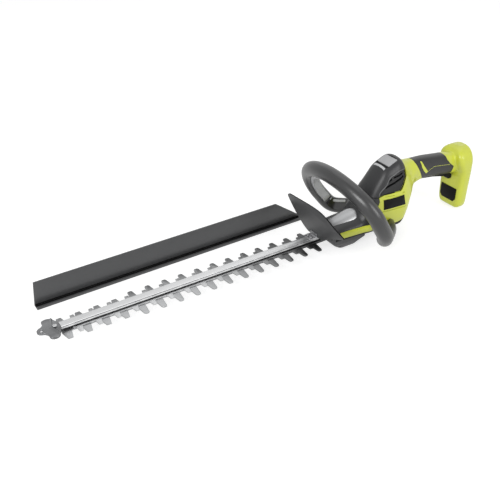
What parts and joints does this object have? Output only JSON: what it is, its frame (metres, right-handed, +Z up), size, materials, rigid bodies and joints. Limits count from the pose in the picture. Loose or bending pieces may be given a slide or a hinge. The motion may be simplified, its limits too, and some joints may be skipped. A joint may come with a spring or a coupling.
{
  "type": "hedge trimmer",
  "caption": "Cordless hedge trimmer: double-sided reciprocating blades, hand guard, looped front handle with a switch bar, rear grip with a trigger, and a clip-on debris sweep.",
  "frame": {"origin": "middle of the flat foot under the gear case, on which the tool rests", "axes": "+X along the blades to their tip, +Y to the user's left, +Z up"},
  "size_m": [0.998, 0.2694, 0.187],
  "materials": {
    "lime_shell": "satin lime green moulding",
    "charcoal_plastic": "charcoal moulding with a fine grain",
    "soft_grip": "over-moulded soft grip",
    "handle_grey": "dark grey soft-touch moulding",
    "pale_grey": "light grey satin moulding",
    "black_plastic": "black moulding",
    "bar_aluminium": "satin extruded aluminium",
    "bright_steel": "ground steel",
    "dark_steel": "blackened steel",
    "cast_metal": "satin silver-grey casting",
    "copper": "copper windings and contact metal",
    "board_green": "lacquered circuit board"
  },
  "bodies": {
    "frame": {"blade_bolt_1": "dark_steel", "blade_bolt_2": "dark_steel", "blade_bolt_3": "dark_steel", "blade_bolt_4": "dark_steel", "guide_bar": "bar_aluminium", "bar_pin": "bright_steel", "nose_guard": "dark_steel", "nose_bolt": "bright_steel", "crank_axle": "bright_steel", "idler_axle": "bright_steel", "gear_case_bottom": "charcoal_plastic", "gear_case_screw_1": "bright_steel", "gear_case_screw_2": "bright_steel", "gear_case_screw_3": "bright_steel", "gear_case_screw_4": "bright_steel", "gear_plate": "bright_steel", "gear_case_top": "cast_metal", "motor_end_plate": "cast_metal", "motor_can": "dark_steel", "motor_stator": "copper", "motor_bearing_lower": "bright_steel", "motor_bearing_upper": "bright_steel", "nose_cover": "charcoal_plastic", "motor_cover": "charcoal_plastic", "cover_top_plate": "pale_grey", "grip_sleeve": "soft_grip", "housing_left": "lime_shell", "housing_right": "lime_shell", "housing_screw_1": "dark_steel", "housing_screw_2": "dark_steel", "housing_screw_3": "dark_steel", "housing_screw_4": "dark_steel", "side_plate_left": "black_plastic", "side_plate_right": "black_plastic", "foot_plate": "black_plastic", "control_board": "board_green", "battery_socket": "black_plastic", "terminal_block": "copper", "trigger_pin": "bright_steel", "rear_switch": "black_plastic", "trigger_spring": "bright_steel", "front_handle_front": "handle_grey", "front_handle_rear": "handle_grey", "front_lever_spring": "bright_steel", "front_switch": "black_plastic", "arm_screw_left": "bright_steel", "arm_screw_right": "bright_steel", "hand_guard": "charcoal_plastic", "guard_bracket": "bright_steel", "guard_bolt_1": "bright_steel", "guard_bolt_2": "bright_steel"},
    "crank": {"crank_gear": "dark_steel"},
    "idler": {"idler_gear": "dark_steel"},
    "motor_rotor": {"rotor": "bright_steel", "motor_fan": "black_plastic"},
    "upper_cutter": {"upper_blade": "bright_steel"},
    "lower_cutter": {"lower_blade": "bright_steel"},
    "trigger": {"rear_trigger": "black_plastic"},
    "front_lever": {"front_switch_lever": "pale_grey"},
    "sweep": {"debris_sweep": "charcoal_plastic"}
  },
  "joints": [
    {"name": "crank_spin", "type": "hinge", "parent": "frame", "child": "crank", "pos_m": [-0.013, 0, 0.04], "axis": [0, 0, 1], "continuous": true},
    {"name": "idler_spin", "type": "hinge", "parent": "frame", "child": "idler", "pos_m": [-0.043, 0, 0.045], "axis": [0, 0, 1], "continuous": true},
    {"name": "motor_spin", "type": "hinge", "parent": "frame", "child": "motor_rotor", "pos_m": [-0.0742, 0, 0.08], "axis": [0, 0, 1], "continuous": true},
    {"name": "upper_blade_slide", "type": "slide", "parent": "frame", "child": "upper_cutter", "axis": [1, 0, 0], "range_m": [-0.00255, 0.00745]},
    {"name": "lower_blade_slide", "type": "slide", "parent": "frame", "child": "lower_cutter", "axis": [1, 0, 0], "range_m": [-0.00745, 0.00255]},
    {"name": "rear_trigger_press", "type": "hinge", "parent": "frame", "child": "trigger", "pos_m": [-0.202, 0, 0.107], "axis": [0, 1, 0], "range_deg": [0, 5], "stiffness_Nm_per_rad": 3, "deforming": ["trigger_spring"]},
    {"name": "front_lever_press", "type": "slide", "parent": "frame", "child": "front_lever", "axis": [0.4886, 0, 0.8725], "range_m": [0, 0.004], "stiffness_N_per_m": 2500, "deforming": ["front_lever_spring"]},
    {"name": "sweep_slide", "type": "slide", "parent": "frame", "child": "sweep", "axis": [0, 1, 0], "range_m": [-0.15, 0.01]}
  ],
  "couplings": [
    {"joint": "idler_spin", "follows": "crank_spin", "ratio": -3},
    {"joint": "motor_spin", "follows": "crank_spin", "ratio": 10},
    {"joint": "lower_blade_slide", "follows": "upper_blade_slide", "ratio": -1}
  ]
}
